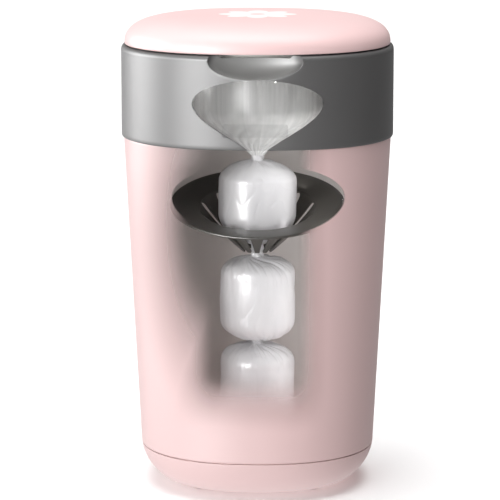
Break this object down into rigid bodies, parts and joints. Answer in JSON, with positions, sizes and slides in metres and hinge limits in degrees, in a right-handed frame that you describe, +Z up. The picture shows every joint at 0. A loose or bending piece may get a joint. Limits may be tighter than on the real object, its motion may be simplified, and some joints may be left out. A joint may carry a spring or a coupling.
{
  "type": "nappy bin",
  "caption": "Tall rounded bin with a tapered tub, a hinged head with a domed lid, a turning film cassette and a fingered dish that holds film-wrapped nappies.",
  "frame": {"origin": "on the floor, under the axis that the film cassette turns about", "axes": "+Z up, the front with the thumb recess faces -Y, +X to the right as seen from the front"},
  "size_m": [0.2624, 0.2649, 0.4575],
  "materials": {
    "pink_shell": "satin moulded plastic",
    "pink_lid": "glossy moulded plastic",
    "grey_shell": "satin moulded plastic",
    "grey_inner": "moulded plastic",
    "dark_plastic": "fine matt moulded plastic",
    "white_plastic": "moulded plastic",
    "wrapped_nappy": "nappy wrapped in thin milky film",
    "film": "thin milky film",
    "film_roll": "gathered film",
    "black_rubber": "matt rubber",
    "screw_steel": "zinc-plated steel",
    "pin_steel": "drawn steel",
    "blade_steel": "ground steel"
  },
  "bodies": {
    "tub": {"tub_shell": "pink_shell", "base_bowl": "pink_shell", "rubber_feet": "black_rubber", "base_screws": "screw_steel", "tub_hinge_bracket": "pink_shell", "tub_bracket_screws": "screw_steel", "head_hinge_pin": "pin_steel", "wrapped_nappy_middle": "wrapped_nappy", "wrapped_nappy_bottom": "wrapped_nappy"},
    "head": {"collar": "grey_shell", "thumb_recess_cup": "grey_shell", "name_plate": "grey_shell", "well_frame": "grey_inner", "frame_screws": "screw_steel", "head_hinge_bracket": "grey_shell", "head_bracket_screws": "screw_steel", "lid_hinge_bracket": "grey_shell", "lid_bracket_screws": "screw_steel", "lid_hinge_pin": "pin_steel", "gripper_dish": "dark_plastic", "gripper_hangers": "grey_inner", "hanger_screws": "screw_steel", "wrapped_nappy_top": "wrapped_nappy", "pawl_post": "grey_inner", "catch_brackets": "grey_inner", "catch_pins": "pin_steel", "cutter_rail": "grey_inner", "cutter_screws": "screw_steel"},
    "lid": {"lid_cover": "pink_lid", "lid_liner": "white_plastic", "lid_gasket": "black_rubber", "liner_screws": "screw_steel"},
    "twist_unit": {"twist_ring": "white_plastic", "cassette_tray": "white_plastic", "cassette_cover": "white_plastic", "film_pack": "film_roll", "film_sleeve": "film"},
    "pawl": {"click_pawl": "white_plastic"},
    "catch_lever_left": {"catch_left": "white_plastic"},
    "catch_lever_right": {"catch_right": "white_plastic"},
    "cutter": {"cutter_slider": "white_plastic", "cutter_blade": "blade_steel"}
  },
  "joints": [
    {"name": "head_hinge", "type": "hinge", "parent": "tub", "child": "head", "pos_m": [0, 0.13301, 0.343], "axis": [-1, 0, 0], "range_deg": [0, 95]},
    {"name": "lid_hinge", "type": "hinge", "parent": "head", "child": "lid", "pos_m": [0, 0.13301, 0.4315], "axis": [-1, 0, 0], "range_deg": [0, 100]},
    {"name": "film_twist", "type": "hinge", "parent": "head", "child": "twist_unit", "pos_m": [0, 0, 0.3638], "axis": [0, 0, -1], "continuous": true},
    {"name": "pawl_click", "type": "hinge", "parent": "head", "child": "pawl", "pos_m": [0.04596, 0.0976, 0.3718], "axis": [0, 0, 1], "range_deg": [0, 10], "stiffness_Nm_per_rad": 0.01, "springref_deg": -5.73},
    {"name": "catch_left_press", "type": "hinge", "parent": "head", "child": "catch_lever_left", "pos_m": [-0.1182, 0, 0.364], "axis": [0, -1, 0], "range_deg": [0, 10], "stiffness_Nm_per_rad": 0.05, "springref_deg": -5.73},
    {"name": "catch_right_press", "type": "hinge", "parent": "head", "child": "catch_lever_right", "pos_m": [0.1182, 0, 0.364], "axis": [0, 1, 0], "range_deg": [0, 10], "stiffness_Nm_per_rad": 0.05, "springref_deg": -5.73},
    {"name": "cutter_slide", "type": "slide", "parent": "head", "child": "cutter", "axis": [-0.7071, 0.7071, 0], "range_m": [0, 0.034]}
  ]
}
